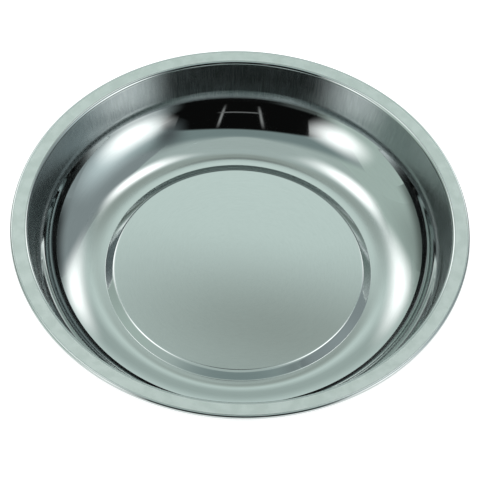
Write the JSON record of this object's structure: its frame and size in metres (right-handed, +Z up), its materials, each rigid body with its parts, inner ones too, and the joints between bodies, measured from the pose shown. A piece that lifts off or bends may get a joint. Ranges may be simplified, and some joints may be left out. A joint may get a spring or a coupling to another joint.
{
  "type": "magnetic parts tray",
  "caption": "Round drawn stainless dish with a rolled lip, a steep collar over a coned wall and a raised centre panel on a rubber-booted ring magnet, for holding steel fasteners at work.",
  "frame": {"origin": "on the resting plane, under the middle of the dish", "axes": "+Z up out of the well, along the dish's axis of revolution; X and Y level"},
  "size_m": [0.15, 0.15, 0.0367],
  "materials": {
    "stainless": "bright polished cove and floor, satin drawn collar",
    "coppered_steel": "thin copper flash",
    "bond_foam": "closed-cell foam with adhesive",
    "zinc_steel": "clear zinc plate",
    "ferrite": "ground sintered ferrite",
    "black_rubber": "fine moulded matt",
    "spring_steel": "plain hardened"
  },
  "bodies": {
    "root": {"dish": "stainless", "weld_stud": "coppered_steel", "bond_pad": "bond_foam", "pole_plate": "zinc_steel", "ring_magnet": "ferrite", "rubber_boot": "black_rubber", "flat_washer": "zinc_steel", "spring_washer": "spring_steel", "hex_nut": "zinc_steel"}
  },
  "joints": []
}
